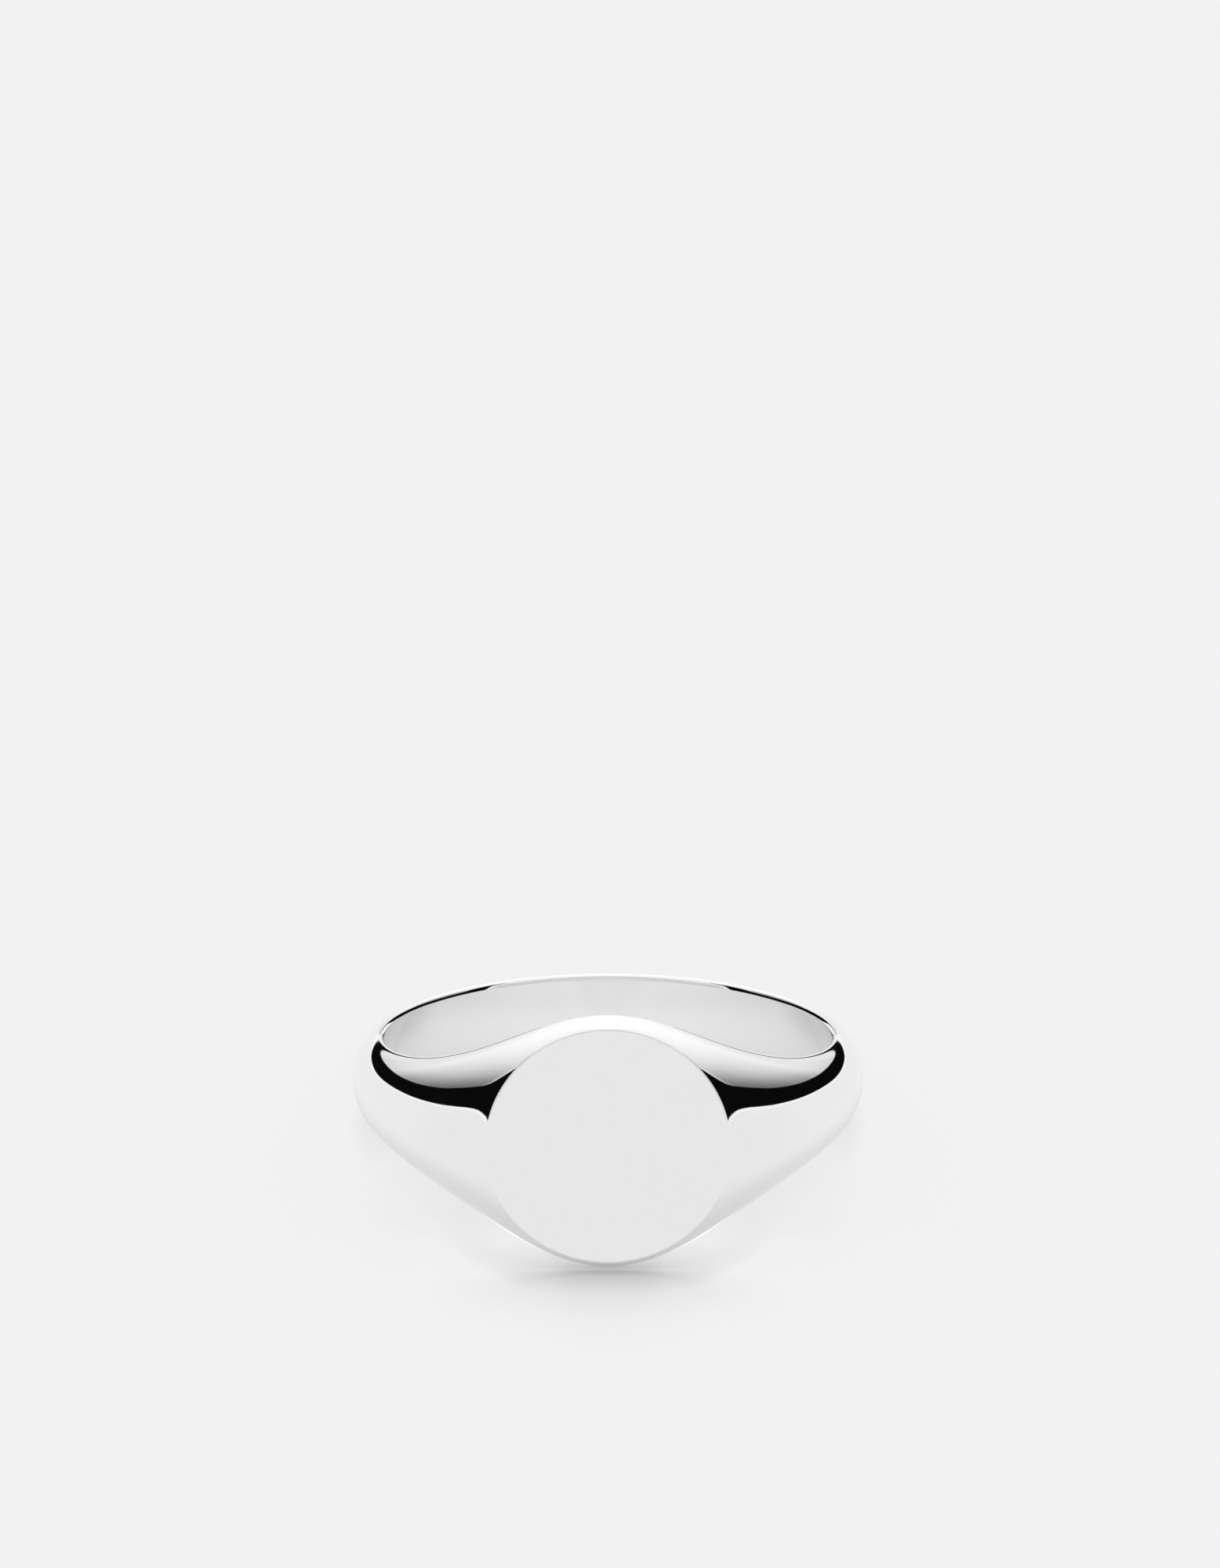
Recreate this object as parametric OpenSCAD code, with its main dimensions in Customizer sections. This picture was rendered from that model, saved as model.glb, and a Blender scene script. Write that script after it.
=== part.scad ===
// Plain polished signet ring with a round flat face, lying on its side.
// The ring is the bench-made kind: a face plate on a solid head, two tapered
// shoulders and a bent shank, joined with thin films of hard solder that are
// filed flush.
//
// Ring frame, used by the shape functions: the finger axis is local Z, the
// face looks along local -Y, and angle 0 round the finger is the middle of the
// face. The finished ring is then tipped by its resting angle, so that the
// lower edge of the wide head and the lower edge of the narrow shank both
// touch the plane z = 0. The origin is the middle of its footprint, on that
// plane, with X across the ring and the head towards -Y.

/* [Finger hole] */
// Inside diameter of the finger hole
hole_d = 19.0; // [18.2:0.1:19.8]
// Radius of the eased rim where the hole meets the sides
rim_ease = 0.10; // [0.08:0.01:0.14]

/* [Face and head] */
// Diameter of the round flat face
face_d = 10.0; // [9.4:0.1:10.2]
// Metal between the middle of the face and the finger hole
face_wall = 1.0; // [0.95:0.05:1.3]
// Width of the head along the finger, at its widest
head_w = 10.8; // [10.8:0.1:11.4]
// Thickness of the separate face plate
plate_t = 0.45; // [0.35:0.05:0.5]
// Width of the polished break round the edge of the face
face_break = 0.06; // [0.04:0.01:0.08]

/* [Shoulders and shank] */
// Width of the shank along the finger
shank_w = 3.2; // [2.8:0.1:3.8]
// Thickness of the band beside the finger
side_t = 1.5; // [1.4:0.05:1.8]
// Thickness of the band behind the finger
back_t = 0.9; // [0.85:0.05:1.3]
// Angle over which the width tapers from head to shank
taper_a = 66; // [60:1:72]

/* [Joints] */
// Angle from the middle of the face to the head joints
head_joint_a = 32; // [30:0.5:36]
// Angle from the middle of the face to the shank joints
shank_joint_a = 80; // [72:1:90]
// Thickness of a solder film
solder_t = 0.06; // [0.05:0.01:0.1]

/* [Hidden] */

hole_r = hole_d / 2;
face_r = face_d / 2;
face_y = hole_r + face_wall;         // finger axis to the face
crown_r0 = hole_r + rim_ease;        // where the outer oval starts
face_a = atan(face_r / face_y);      // angle of the face's side edges
film_a = solder_t / (hole_r + side_t / 2) * 180 / PI;
steps_q = 9;                         // steps round a quarter of the section
silver = [0.86, 0.86, 0.85];
solder = [0.78, 0.78, 0.74];

// ---- shape of the band at angle a (0 to 180) from the middle of the face ----

// Half width, measured along the finger
function half_w(a) =
    shank_w / 2 + (head_w - shank_w) / 2 / pow(1 + pow(a / taper_a, 2), 3);

// Outer radius of the plain band
function band_r(a) =
    hole_r + side_t + (back_t - side_t) * pow((1 - cos(a)) / 2, 2);

// Half height of the face's circle at angle a
function face_z(a) = sqrt(max(0, pow(face_r, 2) - pow(face_y * tan(a), 2)));

// Rate at which the crown falls at the side edge of the face, per degree. The
// shoulder carries on at this rate, so that no crease crosses it.
edge_rate = abs(face_y * tan(face_a) / cos(face_a)
    - (face_y / cos(face_a) - crown_r0) * pow(face_y, 2) * tan(face_a)
      / pow(cos(face_a), 2) / pow(half_w(face_a), 2)) * PI / 180;
edge_rise = face_y / cos(face_a) - band_r(face_a);

// Outer radius at mid width. Under the face it is the radius of the dome whose
// flat cut is exactly the round face.
function crown_r(a) = a < face_a
    ? crown_r0 + (face_y / cos(a) - crown_r0)
        / sqrt(1 - pow(face_z(a) / half_w(a), 2))
    : band_r(a) + edge_rise * exp(-(a - face_a) * edge_rate / edge_rise);

// Upper half of the section as [radius, height]: the eased rim, then a quarter
// of an oval. The rim's slope runs on by the given depth into the hole.
function half_section(a, into = 0) = let (w = half_w(a), t = crown_r(a) - crown_r0)
    concat([[hole_r - into, w - rim_ease - into]],
           [for (i = [0 : steps_q])
               [crown_r0 + t * sin(90 * i / steps_q), w * cos(90 * i / steps_q)]]);

function flip(p) = [for (i = [len(p) - 2 : -1 : 0]) [p[i][0], -p[i][1]]];

function section(a, into = 0) = let (h = half_section(a, into)) concat(h, flip(h));

function fold(a) = let (b = abs(a)) b > 180 ? 360 - b : b;

// Points of the section at signed angle a, in the ring frame
function placed(a) =
    [for (p = section(fold(a), 1.2)) [p[0] * sin(a), -p[0] * cos(a), p[1]]];

// Solid band from angle a0 to angle a1 in n steps, hole not yet cut
module band(a0, a1, n) {
    k = 2 * (steps_q + 2) - 1;
    pts = [for (i = [0 : n]) each placed(a0 + (a1 - a0) * i / n)];
    polyhedron(
        points = pts,
        faces = concat(
            [[for (j = [k - 1 : -1 : 0]) j]],
            [[for (j = [0 : k - 1]) n * k + j]],
            [for (i = [0 : n - 1], j = [0 : k - 1])
                let (m = (j + 1) % k)
                [i * k + j, i * k + m, (i + 1) * k + m]],
            [for (i = [0 : n - 1], j = [0 : k - 1])
                let (m = (j + 1) % k)
                [i * k + j, (i + 1) * k + m, (i + 1) * k + j]]),
        convexity = 6);
}

// ---- resting pose ----

// How far the section at the head, or at the back, reaches below the finger
// axis when the ring is tipped by angle t
function head_reach(t) = max([for (p = section(0)) p[1] * cos(t) - p[0] * sin(t)]);
function back_reach(t) = max([for (p = section(180)) p[1] * cos(t) + p[0] * sin(t)]);
function even_tilt(lo, hi, n) = let (m = (lo + hi) / 2) n == 0 ? m
    : head_reach(m) > back_reach(m) ? even_tilt(m, hi, n - 1)
    : even_tilt(lo, m, n - 1);
rest_tilt = even_tilt(2, 25, 40);
lift = back_reach(rest_tilt);
front_y = -face_y * cos(rest_tilt) - face_r * sin(rest_tilt);
back_y = max([for (p = section(180)) p[0] * cos(rest_tilt) + p[1] * sin(rest_tilt)]);

module at_rest() {
    translate([0, -(front_y + back_y) / 2, lift])
        rotate([-rest_tilt, 0, 0]) children();
}

module finger_hole() {
    cylinder(h = 2 * head_w, r = hole_r, center = true, $fn = 144);
}

// Everything in front of the plane at distance y from the finger axis
module in_front_of(y) {
    translate([-face_d, -y - 5, -face_d]) cube([2 * face_d, 5, 2 * face_d]);
}

// The dome of the head, cut flat at the face
module head_blank() {
    difference() {
        band(-head_joint_a, head_joint_a, 32);
        in_front_of(face_y);
    }
}

// ---- pieces ----

// Round plate that carries the flat face, with its edge just broken
module face_plate() {
    color(silver) at_rest() intersection() {
        head_blank();
        in_front_of(face_y - plate_t);
        translate([0, -face_y, 0]) rotate([-90, 0, 0])
            cylinder(h = 2, r1 = face_r - face_break, r2 = face_r - face_break + 3, $fn = 144);
    }
}

// Solder between the plate and its flat seat on the head
module face_plate_solder() {
    color(solder) at_rest() intersection() {
        head_blank();
        translate([-face_d, -face_y + plate_t, -face_d])
            cube([2 * face_d, solder_t, 2 * face_d]);
    }
}

// Wide front of the ring, with the flat seat for the plate
module head() {
    color(silver) at_rest() difference() {
        band(-head_joint_a, head_joint_a, 32);
        in_front_of(face_y - plate_t - solder_t);
        finger_hole();
    }
}

// Film across the band at angle a, on side s: a slice of the section
module film(a, s) {
    color(solder) at_rest() rotate([0, 0, s * a - 90]) rotate([90, 0, 0])
        translate([0, 0, s > 0 ? -solder_t : 0])
            linear_extrude(height = solder_t) polygon(section(a));
}

module left_head_solder() { film(head_joint_a, -1); }
module right_head_solder() { film(head_joint_a, 1); }

// Tapered piece between head and shank, on side s
module shoulder(s) {
    a0 = head_joint_a + film_a;
    color(silver) at_rest() difference() {
        if (s > 0) band(a0, shank_joint_a, 16);
        else band(-shank_joint_a, -a0, 16);
        finger_hole();
    }
}

module left_shoulder() { shoulder(-1); }
module right_shoulder() { shoulder(1); }

module left_shank_solder() { film(shank_joint_a, -1); }
module right_shank_solder() { film(shank_joint_a, 1); }

// Bent bar round the back of the finger
module shank() {
    a0 = shank_joint_a + film_a;
    color(silver) at_rest() difference() {
        band(a0, 360 - a0, 48);
        finger_hole();
    }
}

face_plate();
face_plate_solder();
head();
left_head_solder();
right_head_solder();
left_shoulder();
right_shoulder();
left_shank_solder();
right_shank_solder();
shank();
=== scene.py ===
import math

import bmesh
import bpy
import numpy as np
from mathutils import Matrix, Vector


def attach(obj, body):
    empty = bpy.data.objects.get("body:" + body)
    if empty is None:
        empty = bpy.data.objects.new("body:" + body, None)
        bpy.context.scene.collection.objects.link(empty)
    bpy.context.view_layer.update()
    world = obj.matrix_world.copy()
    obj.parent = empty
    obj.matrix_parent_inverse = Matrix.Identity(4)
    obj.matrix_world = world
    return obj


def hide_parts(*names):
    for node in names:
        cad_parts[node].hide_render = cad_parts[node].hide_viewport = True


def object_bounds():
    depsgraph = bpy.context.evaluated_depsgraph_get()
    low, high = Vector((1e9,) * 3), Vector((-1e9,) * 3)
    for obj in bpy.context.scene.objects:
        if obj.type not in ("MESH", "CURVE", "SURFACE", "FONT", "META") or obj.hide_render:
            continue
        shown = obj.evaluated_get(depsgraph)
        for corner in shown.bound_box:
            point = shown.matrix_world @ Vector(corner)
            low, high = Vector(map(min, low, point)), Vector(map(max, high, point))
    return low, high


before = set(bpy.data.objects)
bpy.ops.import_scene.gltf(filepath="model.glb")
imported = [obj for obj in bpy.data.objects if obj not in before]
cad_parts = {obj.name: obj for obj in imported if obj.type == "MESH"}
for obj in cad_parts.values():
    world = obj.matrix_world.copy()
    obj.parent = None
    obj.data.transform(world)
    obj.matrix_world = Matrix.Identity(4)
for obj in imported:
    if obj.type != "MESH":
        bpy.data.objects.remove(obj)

START = [list(v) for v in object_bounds()]

# ---------------------------------------------------------------- the ring's shape, in mm, as in the CAD source
HOLE_R = 9.5
RIM = 0.10
FACE_R = 5.0
FACE_Y = 10.5
HEAD_W = 10.8
SHANK_W = 3.2
SIDE_T = 1.5
BACK_T = 0.9
TAPER_A = 66.0
PLATE_T = 0.45
SOLDER_T = 0.06
HEAD_A = 32.0
SHANK_A = 80.0
TILT = math.radians(11.1683)
SHIFT_Y = 0.503718
LIFT_Z = 3.43831
CROWN_0 = HOLE_R + RIM
FILM_A = math.degrees(SOLDER_T / (HOLE_R + SIDE_T / 2))
FACE_A = math.degrees(math.atan(FACE_R / FACE_Y))
RIM_OUT = 0.147  # how far the polished-over rim reaches outwards from the crown's foot
EDGE = 0.05  # how far the polished-over edge of the face reaches to either side


def half_w(a):
    return SHANK_W / 2 + (HEAD_W - SHANK_W) / 2 / (1 + (a / TAPER_A) ** 2) ** 3


def band_r(a):
    return HOLE_R + SIDE_T + (BACK_T - SIDE_T) * ((1 - np.cos(np.radians(a))) / 2) ** 2


def face_z(a):
    a = np.minimum(a, 60.0)
    return np.sqrt(np.maximum(0.0, FACE_R**2 - (FACE_Y * np.tan(np.radians(a))) ** 2))


_t, _c = math.tan(math.radians(FACE_A)), math.cos(math.radians(FACE_A))
EDGE_RATE = abs(FACE_Y * _t / _c - (FACE_Y / _c - CROWN_0) * FACE_Y**2 * _t / _c**2 / half_w(FACE_A) ** 2) * math.pi / 180
EDGE_RISE = FACE_Y / _c - band_r(FACE_A)


def crown_r(a):
    a = np.asarray(a, float)
    ai = np.minimum(a, FACE_A)
    inner = CROWN_0 + (FACE_Y / np.cos(np.radians(ai)) - CROWN_0) / np.sqrt(1 - (face_z(ai) / half_w(ai)) ** 2)
    outer = band_r(a) + EDGE_RISE * np.exp(-(a - FACE_A) * EDGE_RATE / EDGE_RISE)
    return np.where(a < FACE_A, inner, outer)


def fold(a):
    a = np.abs(np.asarray(a, float))
    return np.where(a > 180, 360 - a, a)


def around(a, r, z):
    p = np.radians(a)
    return np.stack(np.broadcast_arrays(r * np.sin(p), -r * np.cos(p), z), -1)


def oval(a, u):
    """The outside: u 0 at the rim, 90 at the crown, over 90 on the lower half."""
    f, u = fold(a), np.radians(u)
    return around(a, CROWN_0 + (crown_r(f) - CROWN_0) * np.sin(u), half_w(f) * np.cos(u))


def rim_u(f):
    return np.arcsin(RIM_OUT / (crown_r(f) - CROWN_0))


RIM_A = np.linspace(0, 180, 721)
RIM_N = 25


def rim_tables():
    """The polished-over rim at each angle round the ring: radius, height and lean (0 up, 90 into the bore).

    Round the back the buffing leaves a small worn bevel in it.
    """
    th = np.linspace(-60, 90, 1201)
    bevel = np.interp(RIM_A, [90, 107, 113, 118, 124.5, 131, 137, 180], [46, 55, 61.5, 66, 69.3, 71, 72, 74])
    worn = np.clip((RIM_A - 74) / 16, 0, 1)
    worn = worn * worn * (3 - 2 * worn)
    out = []
    for a, lean, amount in zip(RIM_A, bevel, worn):
        w, rise = float(half_w(a)), float(crown_r(a)) - CROWN_0
        u = math.asin(RIM_OUT / rise)
        low = -math.degrees(math.atan(w * math.tan(u) / rise))
        bend = 1 + 1.2 * (1 - amount) / (1 + np.exp(-(th - 50) / 8)) + 4.8 * amount * np.exp(-(((th - lean) / 3.7) ** 2))
        along = [np.concatenate([[0], np.cumsum((q[1:] + q[:-1]) / 2)]) for q in (np.cos(np.radians(th)) * bend, np.sin(np.radians(th)) * bend, 1 + 0.6 * bend)]
        k = np.interp(low, th, along[2])
        t = np.interp(k + (along[2][-1] - k) * np.linspace(0, 1, RIM_N), along[2], th)
        i, d = np.interp(t, th, along[0]), np.interp(t, th, along[1])
        size = (RIM_OUT + RIM) / (i[-1] - i[0])
        out.append(np.stack([CROWN_0 + RIM_OUT - size * (i - i[0]), w * math.cos(u) - size * (d - d[0]), t]))
    return np.stack(out)


RIM_T = rim_tables()


def rim_curve(a):
    """Radius, height and lean of the rim's points at the angles a, each (columns, points)."""
    i = np.clip(fold(a) / 0.25, 0, len(RIM_A) - 1.0001)
    i0 = i.astype(int)
    k = (i - i0)[:, None, None]
    t = RIM_T[i0] * (1 - k) + RIM_T[i0 + 1] * k
    return t[:, 0], t[:, 1], t[:, 2]


def unit(v):
    return v / np.maximum(np.linalg.norm(v, axis=-1, keepdims=True), 1e-12)


def oval_normal(a, u):
    h = 1e-3
    n = np.cross(oval(a + h, u) - oval(a - h, u), oval(a, u + h) - oval(a, u - h))
    out = around(a, np.sin(np.radians(u)), np.cos(np.radians(u)))
    return unit(n * np.sign((n * out).sum(-1))[..., None])


def rim_points(a, side):
    """The rim's points and normals at the angles a, from the bore out."""
    def at(b):
        r, z, lean = rim_curve(b)
        return around(b[:, None], r, side * z), np.radians(lean)

    p, lean = at(a)
    c = a[:, None]
    n = np.cross(at(a + 0.25)[0] - at(a - 0.25)[0], around(c, -np.cos(lean), -side * np.sin(lean)))
    n = unit(n * np.sign((n * around(c, -np.sin(lean), side * np.cos(lean))).sum(-1))[..., None])
    return p[:, ::-1], n[:, ::-1]


def to_row_mm(p):
    c, s = math.cos(TILT), math.sin(TILT)
    y = p[..., 1] * c + p[..., 2] * s + SHIFT_Y
    z = -p[..., 1] * s + p[..., 2] * c + LIFT_Z
    return np.stack([p[..., 0], y, z], -1)


# The smooth surface stands up to 0.02 mm outside the CAD's flat facets, so it is drawn in to the CAD's box.
CAD_LO, CAD_HI = np.array(START[0]), np.array(START[1])
_all = to_row_mm(oval(*np.meshgrid(np.linspace(0, 360, 1441), np.linspace(0, 180, 361)))) * 0.001
_all = _all[_all @ np.array([0, math.cos(TILT), -math.sin(TILT)]) >= -(FACE_Y - SHIFT_Y * math.cos(TILT) + LIFT_Z * math.sin(TILT)) * 0.001 - 1e-9]
OWN_LO, OWN_HI = _all.min(0) - 2e-7, _all.max(0) + 2e-7
DRAW_IN = np.minimum(1.0, (CAD_HI - CAD_LO) / (OWN_HI - OWN_LO))


def to_row(p):
    """Ring axes in mm to the row frame in metres."""
    q = to_row_mm(p) * 0.001
    return CAD_LO + (q - OWN_LO) * DRAW_IN + (CAD_HI - CAD_LO - (OWN_HI - OWN_LO) * DRAW_IN) / 2


def turn(n):
    c, s = math.cos(TILT), math.sin(TILT)
    return np.stack([n[..., 0], n[..., 1] * c + n[..., 2] * s, -n[..., 1] * s + n[..., 2] * c], -1)


# ---------------------------------------------------------------- columns round the ring
# Within the face each column runs from the rim to the edge of the face; past it, to the crown.
N_FACE = 96
RIM_END = 26.4
BLEND_END = 31.0


def edge_params(psi):
    """(angle, u) of the sharp edge of the face, at psi degrees round its upper half."""
    x, z = FACE_R * np.sin(np.radians(psi)), FACE_R * np.cos(np.radians(psi))
    a = np.degrees(np.arctan2(x, FACE_Y))
    f = np.abs(a)
    r = FACE_Y / np.cos(np.radians(a))
    su = np.clip((r - CROWN_0) / (crown_r(np.minimum(f, FACE_A - 1e-9)) - CROWN_0), 0, 1)
    cu = np.clip(z / half_w(f), 0, 1)
    return a, np.degrees(np.arctan2(su, cu)), np.stack([x, np.full_like(x, -FACE_Y), z], -1)


psi = np.linspace(-90, 90, 2 * N_FACE + 1)
edge_a, edge_u, edge_p = edge_params(psi)
edge_t = np.stack([np.cos(np.radians(psi)), 0 * psi, -np.sin(np.radians(psi))], -1)  # along the edge
edge_n = oval_normal(np.clip(edge_a, -FACE_A + 1e-6, FACE_A - 1e-6) * 1.0, edge_u)
for k in (0, -1):
    sgn = -1.0 if k == 0 else 1.0
    edge_n[k] = oval_normal(np.array(sgn * (FACE_A + 0.01)), np.array(90.0))
down = unit(np.cross(edge_n, edge_t))
radial = unit(edge_p * np.array([1, 0, 1]))
down *= np.sign((down * radial).sum(-1))[:, None]
# (angle, u) of the points EDGE down the outside from the sharp edge
h = 1e-3
Sa = (oval(edge_a + h, edge_u) - oval(edge_a - h, edge_u)) / (2 * h)
Su = (oval(edge_a, edge_u + h) - oval(edge_a, edge_u - h)) / (2 * h)
top_a, top_u = np.zeros_like(edge_a), np.zeros_like(edge_u)
for i in range(len(psi)):
    m = np.stack([Sa[i], Su[i]], -1)
    d = np.linalg.lstsq(m, EDGE * down[i], rcond=None)[0]
    top_a[i], top_u[i] = edge_a[i] + d[0], edge_u[i] + d[1]
end_a = FACE_A + math.degrees(EDGE / crown_r(FACE_A))
top_a[0], top_a[-1] = -end_a, end_a
top_u[0], top_u[-1] = 90.0, 90.0
top_u = np.minimum(top_u, 90.0)
rim_a = RIM_END * np.linspace(-1, 1, 2 * N_FACE + 1)

# columns past the face, on one side, with the ones where pieces meet
side_r = np.concatenate([
    np.linspace(RIM_END, HEAD_A, 12)[1:],
    [HEAD_A + FILM_A],
    np.linspace(HEAD_A + FILM_A, SHANK_A, 61)[1:],
    [SHANK_A + FILM_A],
    np.linspace(SHANK_A + FILM_A, 180, 101)[1:],
])
gap = np.clip((BLEND_END - side_r) / (BLEND_END - RIM_END), 0, 1)
side_t = side_r - (RIM_END - end_a) * gap**2

ROWS = 34
rows = 0.5 - 0.5 * np.cos(np.linspace(0, math.pi, ROWS + 1))
rows = 0.55 * rows + 0.45 * np.linspace(0, 1, ROWS + 1)
BORE = 9
FILLET = 6


class Skin:
    """Points, their smooth normals, and faces, welded as they are added."""

    def __init__(self):
        self.p, self.n, self.f, self.bore = [], [], [], []

    def add(self, p, n):
        self.p.append(p)
        self.n.append(n)
        return len(self.p) - 1

    def add_all(self, p, n):
        first = len(self.p)
        self.p.extend(p.reshape(-1, 3))
        self.n.extend(n.reshape(-1, 3))
        return (first + np.arange(p.shape[0] * p.shape[1])).reshape(p.shape[:2])


EASE, EASE_REACH = 0.0, 0.35


def ease(p, n):
    """Polishing wears the side a little towards the edge of the face; the normals lean to the face there by EASE, which
    is 0, so they are only made unit length.
    """
    d = np.sqrt(np.maximum(0, np.hypot(p[..., 0], p[..., 2]) - FACE_R) ** 2 + (p[..., 1] + FACE_Y) ** 2)
    w = np.where(p[..., 1] < 0, EASE * np.exp(-d / EASE_REACH), 0.0)
    return unit(n + w[..., None] * np.array([0, -1.0, 0]))


def profiles(skin, rims, top_as, top_us, half):
    """Indices (columns, points) on one half (half +1 or -1): from the bore's middle, over the rim, up to each column's top."""
    r = np.asarray(rims, float)[:, None]
    ta, tu = np.asarray(top_as, float)[:, None], np.asarray(top_us, float)[:, None]
    k = (np.arange(1, BORE) / BORE)[None, :]
    z1 = rim_curve(r[:, 0])[1][:, -1:]
    p = [around(r, HOLE_R, half * z1 * k)]
    n = [-around(r, 1.0, 0.0 * k)]
    rp, rn = rim_points(r[:, 0], half)
    p.append(rp)
    n.append(rn)
    t = rows[1:][None, :]
    low = np.degrees(rim_u(fold(r)))
    a, u = r + (ta - r) * t, low + (tu - low) * t
    if half < 0:
        u = 180 - u
    q = oval(a, u)
    p.append(q)
    n.append(ease(q, oval_normal(a, u)))
    return skin.add_all(np.concatenate(p, 1), np.concatenate(n, 1))


def band(rims, tops, with_face):
    """A closed band over the given columns; with_face adds the face. Ends are closed flat unless it has a face only in the middle."""
    s = Skin()
    cols = []
    ups = profiles(s, rims, [t[0] for t in tops], [t[1] for t in tops], 1)
    los = profiles(s, rims, [t[0] for t in tops], [t[1] for t in tops], -1)
    for i, (r, (ta, tu)) in enumerate(zip(rims, tops)):
        up, lo = [int(k) for k in ups[i]], [int(k) for k in los[i]]
        mid = s.add(around(r, HOLE_R, 0.0), -around(r, 1.0, 0.0))
        if tu >= 90:  # both halves meet at the crown
            lo[-1] = up[-1]
        cols.append((up, lo, mid))
    for (u0, l0, m0), (u1, l1, m1) in zip(cols, cols[1:]):
        a, b = [m0, *u0], [m1, *u1]
        for k in range(len(a) - 1):
            s.f.append((a[k], a[k + 1], b[k + 1], b[k]))
            s.bore.append(k < BORE)
        a, b = [m0, *l0], [m1, *l1]
        for k in range(len(a) - 1):
            s.f.append((b[k], b[k + 1], a[k + 1], a[k]))
            s.bore.append(k < BORE)
    caps = []
    for c, flip in ((cols[0], False), (cols[-1], True)):
        loop = [c[2], *c[0], *c[1][:-1][::-1]]
        caps.append(loop[::-1] if flip else loop)
    if with_face:
        first = with_face[0]
        n = len(psi)
        rings = []
        up_ring = [cols[first + i][0][-1] for i in range(n)]
        lo_ring = [cols[first + i][1][-1] for i in range(n)]
        loops = [up_ring + lo_ring[1:-1][::-1]]  # round the face, starting at -X
        pts_up = [(edge_p[i], edge_t[i], i, 1) for i in range(n)]
        order = pts_up + [(edge_p[i] * np.array([1, 1, -1]), edge_t[i] * np.array([1, 1, -1]), i, -1) for i in range(n - 2, 0, -1)]
        outer = [s.p[k] for k in loops[0]]
        outer_n = [s.n[k] for k in loops[0]]
        for j in range(1, FILLET + 1):
            t = j / FILLET
            ring = []
            for (p0, tg, i, half), b, nb in zip(order, outer, outer_n):
                a_end = p0 - unit(p0 * np.array([1, 0, 1])) * EDGE
                q = (1 - t) ** 2 * b + 2 * t * (1 - t) * p0 + t**2 * a_end
                d = (1 - t) * (p0 - b) + t * (a_end - p0)
                nn = np.cross(tg, d)
                nn = unit(nn)
                if np.dot(nn, nb + np.array([0, -1.0, 0])) < 0:
                    nn = -nn
                ring.append(s.add(q, nn))
            loops.append(ring)
        for frac in (0.92, 0.75, 0.5, 0.25):
            loops.append([s.add(np.array([p0[0], -FACE_Y, p0[2]]) * np.array([frac, 1, frac]), np.array([0, -1.0, 0])) for p0, *_ in order])
        for l0, l1 in zip(loops, loops[1:]):
            m = len(l0)
            for k in range(m):
                s.f.append((l0[k], l0[(k + 1) % m], l1[(k + 1) % m], l1[k]))
        c = s.add(np.array([0, -FACE_Y, 0.0]), np.array([0, -1.0, 0]))
        m = len(loops[-1])
        for k in range(m):
            s.f.append((loops[-1][k], loops[-1][(k + 1) % m], c))
    return s, caps


def to_bmesh(skin, caps):
    bm = bmesh.new()
    layer = bm.verts.layers.float_vector.new("smooth_n")
    used = sorted({k for f in skin.f for k in f} | {k for c in caps for k in c})
    made = {}
    for k in used:
        v = bm.verts.new([float(x) for x in skin.p[k]])
        v[layer] = [float(x) for x in skin.n[k]]
        made[k] = v
    for i, f in enumerate(skin.f):
        bm.faces.new([made[k] for k in f]).material_index = int(i < len(skin.bore) and skin.bore[i])
    tag = bm.faces.layers.int.new("cap")
    for c in caps:
        f = bm.faces.new([made[k] for k in c])
        f[tag] = 1
    bmesh.ops.recalc_face_normals(bm, faces=bm.faces)
    return bm


def cut(bm, y, keep_front):
    """Cuts at the plane y (ring axes) and closes the cut."""
    tag = bm.faces.layers.int["cap"]
    bmesh.ops.bisect_plane(
        bm, geom=[*bm.verts, *bm.edges, *bm.faces], dist=1e-6, plane_co=(0, y, 0), plane_no=(0, 1, 0),
        clear_outer=keep_front, clear_inner=not keep_front,
    )
    open_edges = [e for e in bm.edges if e.is_boundary]
    got = bmesh.ops.edgeloop_fill(bm, edges=open_edges)
    for f in got["faces"]:
        f[tag] = 1
    bmesh.ops.recalc_face_normals(bm, faces=bm.faces)


def to_piece(bm, name, node, material):
    layer = bm.verts.layers.float_vector["smooth_n"]
    tag = bm.faces.layers.int["cap"]
    bmesh.ops.triangulate(bm, faces=[f for f in bm.faces if f[tag]], quad_method="BEAUTY", ngon_method="BEAUTY")
    bm.verts.ensure_lookup_table()
    bm.faces.ensure_lookup_table()
    normals = []
    for f in bm.faces:
        flat = f[tag] == 1
        for l in f.loops:
            normals.append(np.array(f.normal) if flat else np.array(l.vert[layer]))
        f.smooth = True
    normals = turn(unit(np.array(normals, float)))
    co = to_row(np.array([v.co for v in bm.verts], float))
    for v, c in zip(bm.verts, co):
        v.co = c
    bm.verts.layers.float_vector.remove(bm.verts.layers.float_vector["smooth_n"])
    bm.faces.layers.int.remove(bm.faces.layers.int["cap"])
    me = bpy.data.meshes.new(name)
    bm.to_mesh(me)
    bm.free()
    me.normals_split_custom_set([tuple(n) for n in normals])
    me.materials.append(material)
    me.materials.append(INSIDE)
    o = bpy.data.objects.new(name, me)
    bpy.context.scene.collection.objects.link(o)
    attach(o, "root")
    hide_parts(node)
    return o


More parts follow.
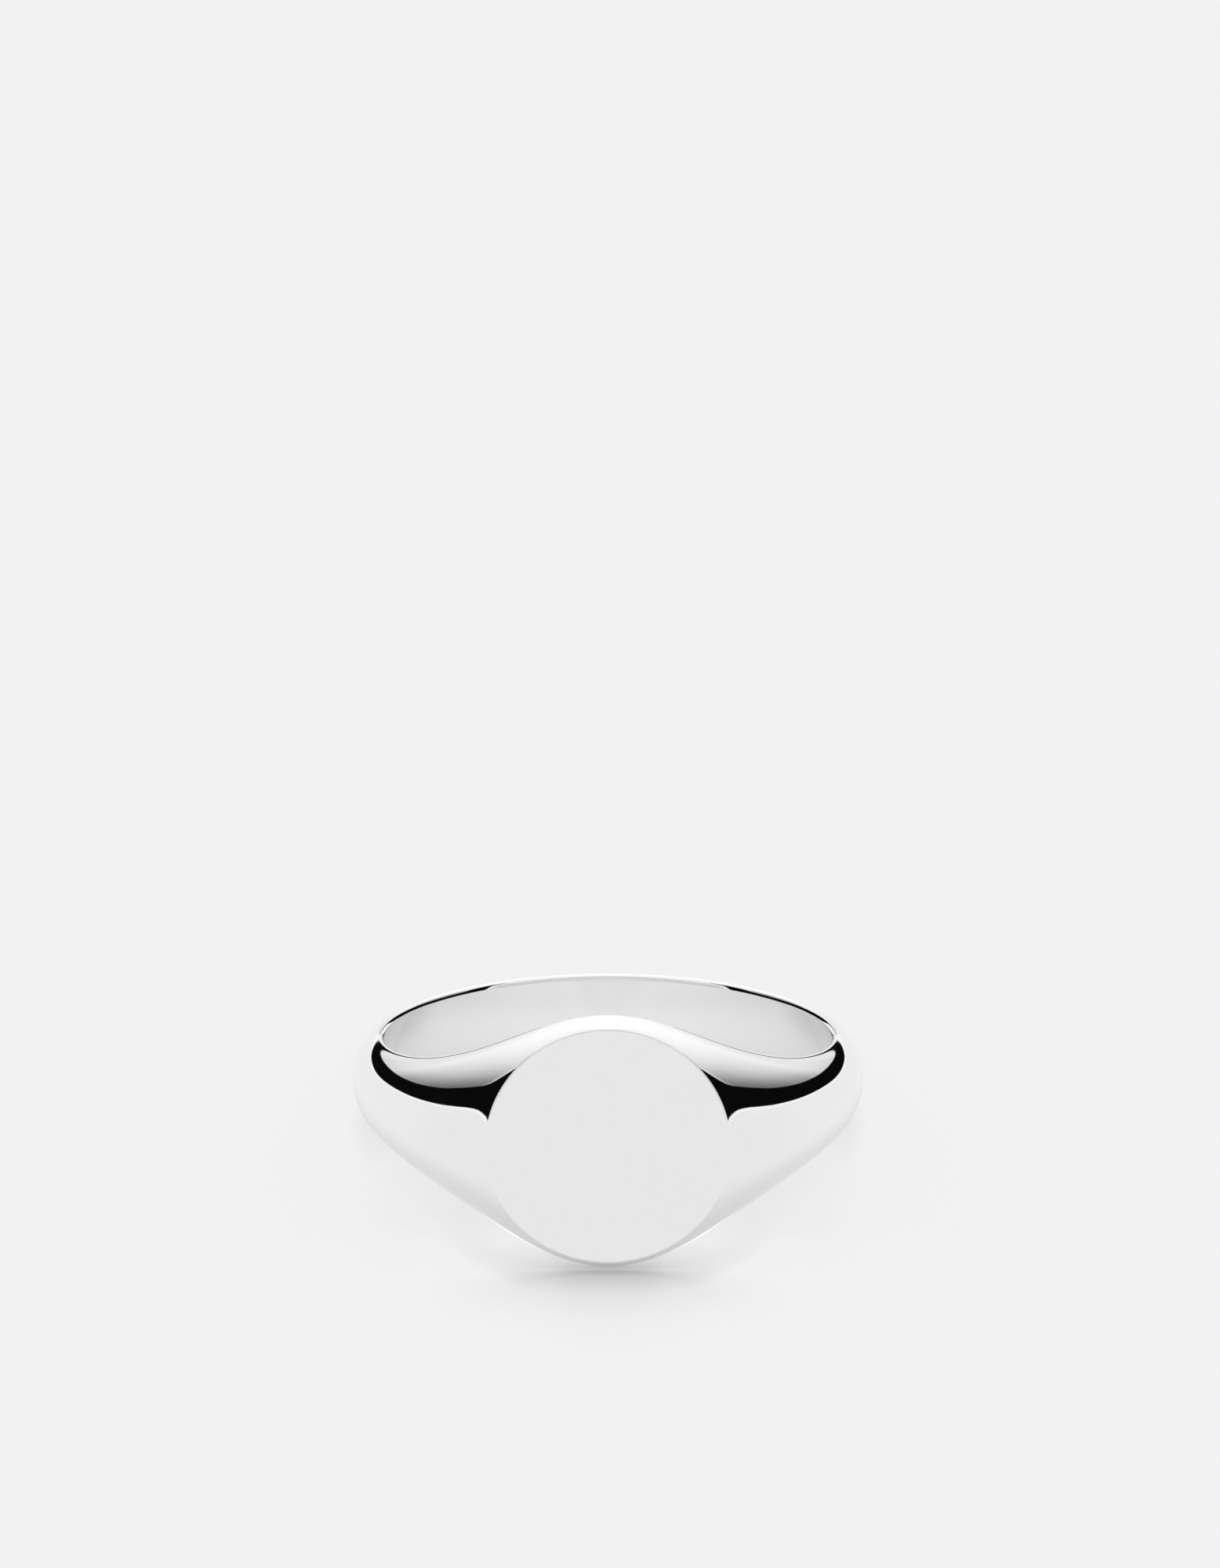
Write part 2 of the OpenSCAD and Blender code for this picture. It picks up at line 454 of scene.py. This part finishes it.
# ---------------------------------------------------------------- polished silver
def silver(name, tone, seed, haze=0.022):
    m = bpy.data.materials.new(name)
    m.use_nodes = True
    nt = m.node_tree
    nt.nodes.clear()
    out = nt.nodes.new("ShaderNodeOutputMaterial")
    b = nt.nodes.new("ShaderNodeBsdfPrincipled")
    b.inputs["Metallic"].default_value = 1.0
    nt.links.new(b.outputs[0], out.inputs[0])
    tc = nt.nodes.new("ShaderNodeTexCoord")

    def noise(scale, detail, rough, stretch=None):
        n = nt.nodes.new("ShaderNodeTexNoise")
        n.noise_dimensions = "4D"
        n.inputs["W"].default_value = seed
        n.inputs["Scale"].default_value = scale
        n.inputs["Detail"].default_value = detail
        n.inputs["Roughness"].default_value = rough
        if stretch:
            mp = nt.nodes.new("ShaderNodeMapping")
            mp.inputs["Scale"].default_value = stretch
            mp.inputs["Rotation"].default_value = (0.4, 0.9, seed)
            nt.links.new(tc.outputs["Object"], mp.inputs[0])
            nt.links.new(mp.outputs[0], n.inputs["Vector"])
        else:
            nt.links.new(tc.outputs["Object"], n.inputs["Vector"])
        return n.outputs["Fac"]

    def spread(v, a, b2, lo, hi):
        r = nt.nodes.new("ShaderNodeMapRange")
        r.inputs["From Min"].default_value = a
        r.inputs["From Max"].default_value = b2
        r.inputs["To Min"].default_value = lo
        r.inputs["To Max"].default_value = hi
        nt.links.new(v, r.inputs["Value"])
        return r.outputs["Result"]

    def add(p, q):
        r = nt.nodes.new("ShaderNodeMath")
        r.operation = "ADD"
        nt.links.new(p, r.inputs[0])
        nt.links.new(q, r.inputs[1])
        return r.outputs[0]

    # the tone drifts a little, as the last buffing left it
    cr = nt.nodes.new("ShaderNodeValToRGB")
    cr.color_ramp.elements[0].position = 0.3
    cr.color_ramp.elements[0].color = (tone - 0.006, tone - 0.006, tone - 0.007, 1)
    cr.color_ramp.elements[1].position = 0.7
    cr.color_ramp.elements[1].color = (tone + 0.006, tone + 0.006, tone + 0.006, 1)
    nt.links.new(noise(420, 4, 0.6), cr.inputs[0])
    nt.links.new(cr.outputs[0], b.inputs["Base Color"])
    # polishing hairlines and haze, in the roughness
    cloud = spread(noise(260, 3, 0.5), 0.35, 0.7, haze, haze * 1.5)
    lines = spread(noise(900, 2, 0.5, (1, 0.04, 1)), 0.60, 0.78, 0.0, 0.03)
    nt.links.new(add(cloud, lines), b.inputs["Roughness"])
    # the faint waviness of hand polishing
    bump = nt.nodes.new("ShaderNodeBump")
    bump.inputs["Strength"].default_value = 0.02
    bump.inputs["Distance"].default_value = 0.00002
    nt.links.new(noise(700, 2, 0.5), bump.inputs["Height"])
    nt.links.new(bump.outputs[0], b.inputs["Normal"])
    return m


SILVER = silver("polished_silver", 0.915, 1.3)
SOLDER = silver("polished_solder", 0.912, 4.1)
INSIDE = silver("satin_inside", 0.915, 7.7, 0.12)

# ---------------------------------------------------------------- the ten pieces
face_cols = [(r, (ta, tu)) for r, ta, tu in zip(rim_a, top_a, top_u)]
side_cols = [(r, (t, 90.0)) for r, t in zip(side_r, side_t)]


def cols_between(a0, a1):
    return [(r, t) for r, t in side_cols if a0 - 1e-6 <= r <= a1 + 1e-6]


def mirrored(cols):
    return [(-r, (-t[0], t[1])) for r, t in cols][::-1]


def split(cols):
    return [c[0] for c in cols], [c[1] for c in cols]


right_part = cols_between(RIM_END + 1e-3, HEAD_A)
head_cols = mirrored(right_part) + face_cols + right_part
start = len(right_part)


def head_blank():
    return to_bmesh(*band(*split(head_cols), (start,)))


bm = head_blank()
cut(bm, -(FACE_Y - PLATE_T), True)
to_piece(bm, "signet_face_plate", "face_plate", SILVER)
bm = head_blank()
cut(bm, -(FACE_Y - PLATE_T), False)
cut(bm, -(FACE_Y - PLATE_T - SOLDER_T), True)
to_piece(bm, "face_plate_seam", "face_plate_solder", SOLDER)
bm = head_blank()
cut(bm, -(FACE_Y - PLATE_T - SOLDER_T), False)
to_piece(bm, "signet_head", "head", SILVER)

for side in ("right", "left"):
    def pick(a0, a1):
        c = cols_between(a0, a1)
        return split(c if side == "right" else mirrored(c))

    to_piece(to_bmesh(*band(*pick(HEAD_A, HEAD_A + FILM_A), None)), side + "_head_seam", side + "_head_solder", SOLDER)
    to_piece(to_bmesh(*band(*pick(HEAD_A + FILM_A, SHANK_A), None)), side + "_shoulder_piece", side + "_shoulder", SILVER)
    to_piece(to_bmesh(*band(*pick(SHANK_A, SHANK_A + FILM_A), None)), side + "_shank_seam", side + "_shank_solder", SOLDER)

back = cols_between(SHANK_A + FILM_A, 180.0)
whole = back + [(360 - r, (360 - t[0], t[1])) for r, t in back[:-1]][::-1]
to_piece(to_bmesh(*band(*split(whole), None)), "plain_shank", "shank", SILVER)

# ---------------------------------------------------------------- floor
FLOOR_R = 0.10
bm = bmesh.new()
bmesh.ops.create_circle(bm, cap_ends=True, cap_tris=True, segments=96, radius=FLOOR_R)
me = bpy.data.meshes.new("floor")
bm.to_mesh(me)
bm.free()
floor = bpy.data.objects.new("floor", me)
bpy.context.scene.collection.objects.link(floor)
fm = bpy.data.materials.new("pale_floor")
fm.use_nodes = True
fn = fm.node_tree
fb = fn.nodes["Principled BSDF"]
fb.inputs["Roughness"].default_value = 0.9
fb.inputs["Specular IOR Level"].default_value = 0.0
fb.inputs["Emission Color"].default_value = (1, 1, 1, 1)
FLOOR_TONE = 0.5
FILL = 0.231
# the floor glows evenly, as a light table would; near the ring, painted shade is multiplied into this glow
FLOOR_GLOW = 0.6115  # a light table: most of its light comes from below


def floor_node(kind):
    return fn.nodes.new(kind)


# closeness turns how closely the ring hems in a floor point into a painted shade for the floor's glow
def closeness(reach, points):
    """How open the floor is within reach, through a curve of (open, value) points."""
    ao = floor_node("ShaderNodeAmbientOcclusion")
    ao.samples = 16
    ao.inputs["Distance"].default_value = reach
    r = floor_node("ShaderNodeValToRGB")
    e = r.color_ramp.elements
    while len(e) > 1:
        e.remove(e[-1])
    for i, (x, y) in enumerate(points):
        k = e[0] if i == 0 else e.new(x)
        k.position = x
        k.color = (y, y, y, 1)
    fn.links.new(ao.outputs["AO"], r.inputs[0])
    return r.outputs[0]


def times(a, b):
    n = floor_node("ShaderNodeMath")
    n.operation = "MULTIPLY"
    for i, v in enumerate((a, b)):
        if isinstance(v, (int, float)):
            n.inputs[i].default_value = v
        else:
            fn.links.new(v, n.inputs[i])
    return n.outputs[0]


tc = floor_node("ShaderNodeTexCoord")
ns = floor_node("ShaderNodeTexNoise")
ns.inputs["Scale"].default_value = 900
ns.inputs["Detail"].default_value = 3
cr = floor_node("ShaderNodeValToRGB")
cr.color_ramp.elements[0].color = (FLOOR_TONE - 0.004,) * 3 + (1,)
cr.color_ramp.elements[1].color = (FLOOR_TONE + 0.004,) * 3 + (1,)
fn.links.new(tc.outputs["Object"], ns.inputs["Vector"])
fn.links.new(ns.outputs["Fac"], cr.inputs[0])
fn.links.new(cr.outputs[0], fb.inputs["Base Color"])
sp = floor_node("ShaderNodeSeparateXYZ")
fn.links.new(tc.outputs["Object"], sp.inputs[0])


def ramp(value, points):
    """A curve through (mm, value) points, 0 to 12 mm."""
    r = floor_node("ShaderNodeValToRGB")
    e = r.color_ramp.elements
    while len(e) > 1:
        e.remove(e[-1])
    for i, (x, y) in enumerate(points):
        k = e[0] if i == 0 else e.new(x / 12)
        k.position = x / 12
        k.color = (y, y, y, 1)
    fn.links.new(times(value, 1000 / 12), r.inputs[0])
    return r.outputs[0]


def floor_math(op, a, b=0.0):
    n = floor_node("ShaderNodeMath")
    n.operation = op
    for i, v in enumerate((a, b)):
        if isinstance(v, (int, float)):
            n.inputs[i].default_value = v
        else:
            fn.links.new(v, n.inputs[i])
    return n.outputs[0]


# painted shadow: where the ring hems the floor in within 2 mm, its glow is painted darker, as a contact shadow
under = closeness(0.002, [(0, 0.31), (0.2, 0.50), (0.33, 0.61), (0.5, 0.70), (0.7, 0.81), (0.85, 0.91), (1, 1)])
# the broader painted shade is deepest beside the shoulders; in front it gathers under the middle of the head
beside = closeness(0.012, [(0, 0.87), (0.6, 0.90), (0.70, 0.94), (0.74, 0.965), (0.77, 0.985), (0.82, 1)])
across = floor_math("ABSOLUTE", sp.outputs[0])
at_side = ramp(across, [(0, 0), (5, 0.6), (6, 1), (9, 1), (10.8, 0)])
in_front = floor_math("SUBTRACT", times(ramp(across, [(0, 0.75), (1.5, 0.75), (2.4, 0.15), (3.2, 0), (4.6, 0), (5.7, 0.4), (7, 0.5), (9, 0.5)]), 2.0), 1.0)
behind = floor_node("ShaderNodeMapRange")
behind.interpolation_type = "SMOOTHSTEP"
fn.links.new(sp.outputs[1], behind.inputs["Value"])
behind.inputs["From Min"].default_value = -0.0085
behind.inputs["From Max"].default_value = -0.0065
share = floor_math("ADD", times(at_side, behind.outputs["Result"]), times(in_front, floor_math("SUBTRACT", 1.0, behind.outputs["Result"])))
broad = floor_math("ADD", 1.0, times(share, floor_math("SUBTRACT", beside, 1.0)))
# further out in front the painted shade clears sooner: the glow is painted a little lighter there
clear = floor_node("ShaderNodeValToRGB")
e = clear.color_ramp.elements
while len(e) > 1:
    e.remove(e[-1])
for i, (x, y) in enumerate([(0, 0), (0.74, 0), (0.77, 0.35), (0.79, 0.75), (0.82, 0.93), (0.845, 0.95), (0.87, 0.68), (0.89, 0.42), (0.91, 0.2), (0.93, 0.05), (0.96, 0), (1, 0)]):
    k = e[0] if i == 0 else e.new(x)
    k.position = x
    k.color = (y, y, y, 1)
fn.links.new(beside.node.inputs[0].links[0].from_socket, clear.inputs[0])
ahead = times(ramp(across, [(0, 0.70), (1.1, 0.75), (2.4, 0.85), (4.1, 1), (5.7, 0.72), (7, 0.36), (8.4, 0.15), (12, 0.12)]), floor_math("SUBTRACT", 1.0, behind.outputs["Result"]))
broad = floor_math("ADD", broad, times(times(clear.outputs[0], ahead), 0.075))
# the floor's glow as the camera sees it: the painted contact shadow times the painted broader shade
fn.links.new(times(times(under, broad), FLOOR_GLOW), fb.inputs["Emission Strength"])
# in the silver the floor is a glow with the ring's full shade painted on it round the ring, and it is painted a little
# darker towards the front
shade = closeness(0.006, [(0, 0.40), (0.16, 0.47), (0.24, 0.53), (0.42, 0.67), (0.57, 0.77), (0.64, 0.79), (0.755, 0.838), (0.80, 0.888), (0.87, 0.947), (1, 1)])
fall = floor_node("ShaderNodeMapRange")
fall.interpolation_type = "SMOOTHSTEP"
fn.links.new(sp.outputs[1], fall.inputs["Value"])
for key, v in (("From Min", -0.012), ("From Max", -0.001), ("To Min", 0.983), ("To Max", 1.02)):
    fall.inputs[key].default_value = v
fe = floor_node("ShaderNodeEmission")
lf = floor_node("ShaderNodeLightPath")
spill = floor_node("ShaderNodeMath")  # what the silver throws back on the floor is only the fill
spill.operation = "GREATER_THAN"
spill.inputs[1].default_value = 0.5
fn.links.new(lf.outputs["Diffuse Depth"], spill.inputs[0])
glow = floor_node("ShaderNodeMapRange")
fn.links.new(spill.outputs[0], glow.inputs["Value"])
# painted light: in the silver the floor inside the ring is painted brighter, up to 1.7 times and most by the head, as
# if light from behind fell through the ring; towards the back it is painted a little darker
painted_light_inside = floor_node("ShaderNodeValToRGB")
e = painted_light_inside.color_ramp.elements
while len(e) > 1:
    e.remove(e[-1])
for i, (y, v) in enumerate([(-9.6, 1.0), (-9.3, 1.70), (-8.5, 1.70), (-8.0, 1.60), (-7.5, 1.25), (-7.0, 1.08), (-5.0, 1.035), (-3.0, 1.015), (0.0, 0.97), (5.5, 0.96), (7.5, 1.0), (8.3, 1.0), (8.9, 0.9), (9.5, 0.85)]):
    k = e[0] if i == 0 else e.new((y + 10) / 20)
    k.position = (y + 10) / 20
    k.color = (v / 2, v / 2, v / 2, 1)
along = floor_node("ShaderNodeMapRange")
fn.links.new(sp.outputs[1], along.inputs["Value"])
along.inputs["From Min"].default_value = -0.01
along.inputs["From Max"].default_value = 0.01
fn.links.new(along.outputs["Result"], painted_light_inside.inputs[0])
reach = floor_node("ShaderNodeVectorMath")
reach.operation = "DISTANCE"
fn.links.new(tc.outputs["Object"], reach.inputs[0])
reach.inputs[1].default_value = (0, -0.0002, 0)
inside = floor_node("ShaderNodeMapRange")
fn.links.new(reach.outputs["Value"], inside.inputs["Value"])
for key, v in (("From Min", 0.0092), ("From Max", 0.0098), ("To Min", 1.0), ("To Max", 0.0)):
    inside.inputs[key].default_value = v
gain = floor_node("ShaderNodeMapRange")
fn.links.new(inside.outputs["Result"], gain.inputs["Value"])
gain.inputs["To Min"].default_value = 1.0
fn.links.new(times(painted_light_inside.outputs[0], 2.0), gain.inputs["To Max"])
# what the silver mirrors of the floor: painted shade, times the painted light inside the ring, times the painted
# darkening towards the front
fn.links.new(times(times(shade, gain.outputs["Result"]), times(fall.outputs["Result"], 0.888)), glow.inputs["To Min"])
glow.inputs["To Max"].default_value = FILL
fn.links.new(glow.outputs["Result"], fe.inputs["Strength"])
fx = floor_node("ShaderNodeMixShader")
fn.links.new(lf.outputs["Is Glossy Ray"], fx.inputs[0])
fn.links.new(fb.outputs[0], fx.inputs[1])
fn.links.new(fe.outputs[0], fx.inputs[2])
fn.links.new(fx.outputs[0], fn.nodes["Material Output"].inputs["Surface"])
me.materials.append(fm)

# ---------------------------------------------------------------- soft light all round, with a dark flag low on each side
world = bpy.data.worlds.new("studio")
bpy.context.scene.world = world
world.use_nodes = True
wt = world.node_tree
wt.nodes.clear()


def W(kind):
    return wt.nodes.new(kind)


def math_node(op, a, b=None, c=None):
    n = W("ShaderNodeMath")
    n.operation = op
    for i, v in enumerate((a, b, c)):
        if v is None:
            continue
        if isinstance(v, (int, float)):
            n.inputs[i].default_value = v
        else:
            wt.links.new(v, n.inputs[i])
    return n.outputs[0]


def table(value, points, lo, hi):
    """A curve through (degrees, value) points, as a ramp over 0 to 180 degrees."""
    r = W("ShaderNodeValToRGB")
    e = r.color_ramp.elements
    while len(e) > 1:
        e.remove(e[-1])
    for i, (x, y) in enumerate(points):
        k = e[0] if i == 0 else e.new(x / 180)
        k.position = x / 180
        g = (y - lo) / (hi - lo)
        k.color = (g, g, g, 1)
    wt.links.new(math_node("DIVIDE", value, 180.0), r.inputs[0])
    return math_node("ADD", math_node("MULTIPLY", r.outputs[0], hi - lo), lo)


def step(value, edge, width):
    """0 below edge, 1 above, over width."""
    n = W("ShaderNodeMapRange")
    n.interpolation_type = "SMOOTHSTEP"
    wt.links.new(math_node("SUBTRACT", value, edge), n.inputs["Value"])
    n.inputs["From Min"].default_value = -width / 2
    n.inputs["From Max"].default_value = width / 2
    n.inputs["To Min"].default_value = 0
    n.inputs["To Max"].default_value = 1
    return n.outputs["Result"]


def mix(f, a, b):
    """a where f is 0, b where it is 1."""
    return math_node("ADD", math_node("MULTIPLY", a, math_node("SUBTRACT", 1.0, f)), math_node("MULTIPLY", b, f))


tcw = W("ShaderNodeTexCoord")
sx = W("ShaderNodeSeparateXYZ")
wt.links.new(tcw.outputs["Generated"], sx.inputs[0])
X, Y, Z = sx.outputs
EL = math_node("MULTIPLY", math_node("ARCSINE", Z), 180 / math.pi)
AZ = math_node("MULTIPLY", math_node("ARCTAN2", math_node("ABSOLUTE", X), Y), 180 / math.pi)  # 0 behind the ring, 180 in front

flag_top = table(AZ, [(0, 0.3), (4, 1.0), (12, 2.3), (20, 3.7), (28, 5.4), (36, 6.9), (44, 7.9), (52, 8.5), (60, 9.1), (68, 9.6), (76, 10.4), (84, 11.6), (92, 14.1), (96, 15.9), (97, 19.5), (97.7, 26), (98.4, 34), (99, 40), (107, 44), (111, 44), (113, -8), (180, -8)], -10, 45)
flag_low = table(AZ, [(0, 0.2), (4, 0.0), (12, -0.4), (20, -0.8), (28, -1.5), (36, -1.8), (44, -2.0), (52, -1.6), (60, -0.9), (68, -0.4), (76, -0.1), (84, 0.45), (92, 1.25), (98, 2.35), (100, 2.8), (102.5, 2.9), (104, 2.6), (105.5, 1.6), (107, 0.1), (108.5, -1.8), (112, -1.8), (116, 0), (180, 0)], -10, 45)
depth = table(AZ, [(0, 0.2), (20, 0.24), (28, 0.33), (46, 0.34), (60, 0.66), (76, 0.80), (84, 0.83), (95, 0.80), (97, 0.3), (112, 0.2), (116, 0.0), (180, 0.0)], 0, 1)
peak = table(AZ, [(0, 1.12), (44, 1.09), (60, 1.06), (76, 1.0), (86, 0.95), (98, 0.92), (120, 0.98), (180, 0.98)], 0, 2)

above = math_node("DIVIDE", math_node("MAXIMUM", math_node("SUBTRACT", EL, flag_top), 0.0), 13.5)
fade = math_node("EXPONENT", math_node("MULTIPLY", math_node("POWER", above, 1.5), -1.0))
light = math_node("MULTIPLY", peak, math_node("SUBTRACT", 1.0, math_node("MULTIPLY", depth, fade)))
# the room in front is dimmer than the tent
dim = table(AZ, [(0, 0.0), (112, 0.0), (118, 0.36), (128, 0.34), (145, 0.30), (180, 0.27)], 0, 1)
dim_top = table(AZ, [(0, 28), (122, 28), (135, 34), (150, 44), (165, 54), (180, 58)], 0, 90)
low_front = math_node("MULTIPLY", step(EL, -0.1, 0.8), math_node("SUBTRACT", 1.0, step(EL, dim_top, 16.0)))
light = math_node("MULTIPLY", light, math_node("SUBTRACT", 1.0, math_node("MULTIPLY", dim, low_front)))
BELOW = table(AZ, [(0, 0.906), (60, 0.900), (95, 0.888), (130, 0.873), (180, 0.873)], 0, 2)
DARK = 0.003
over = mix(step(EL, flag_top, 0.6), DARK, light)
strip = math_node("MULTIPLY", step(EL, math_node("SUBTRACT", flag_low, 1.3), 0.9), table(AZ, [(0, 0.11), (106, 0.11), (111, 0.0), (180, 0.0)], 0, 1))
sky = mix(step(EL, flag_low, 0.5), math_node("ADD", BELOW, strip), over)
lp = W("ShaderNodeLightPath")
on_floor = math_node("GREATER_THAN", lp.outputs["Diffuse Depth"], 0.5)  # what lights the floor, not what the silver mirrors
seen = mix(on_floor, sky, FILL)
seen = mix(lp.outputs["Is Camera Ray"], seen, 0.888)
bg = W("ShaderNodeBackground")
wt.links.new(seen, bg.inputs["Color"])
wo = W("ShaderNodeOutputWorld")
wt.links.new(bg.outputs[0], wo.inputs[0])
world.cycles.sampling_method = "MANUAL"
world.cycles.sample_map_resolution = 1024

# a broad softbox overhead lights the floor; the silver mirrors only the studio round it
def softbox(name, energy, spread, lean, blockers):
    d = bpy.data.lights.new(name, "SUN")
    d.angle = math.radians(spread)
    d.energy = energy
    o = bpy.data.objects.new(name, d)
    o.rotation_euler = (math.radians(-lean), 0, 0)
    o.visible_glossy = False
    o.visible_camera = False
    bpy.context.scene.collection.objects.link(o)
    if blockers:
        c = bpy.data.collections.new(name + "_blockers")
        for b in blockers:
            c.objects.link(bpy.data.objects[b])
        o.light_linking.blocker_collection = c
    return o


softbox("softbox_behind", 1.0465, 40, 25, ("signet_face_plate", "face_plate_seam"))

# ---------------------------------------------------------------- camera
cd = bpy.data.cameras.new("camera")
cam = bpy.data.objects.new("camera", cd)
bpy.context.scene.collection.objects.link(cam)
cd.sensor_width = 36.0
cd.lens = 7467.5 / 2000 * 36.0
cd.clip_start, cd.clip_end = 0.01, 10
cam.location = (0.000087, -0.220031, 0.121185)
cam.rotation_euler = (math.radians(90 - 25.2824), 0, 0)
bpy.context.scene.camera = cam

bpy.context.scene.cycles.glossy_bounces = 10
bpy.context.scene.cycles.max_bounces = 16

vs = bpy.context.scene.view_settings
vs.view_transform = "Standard"
vs.look = "None"
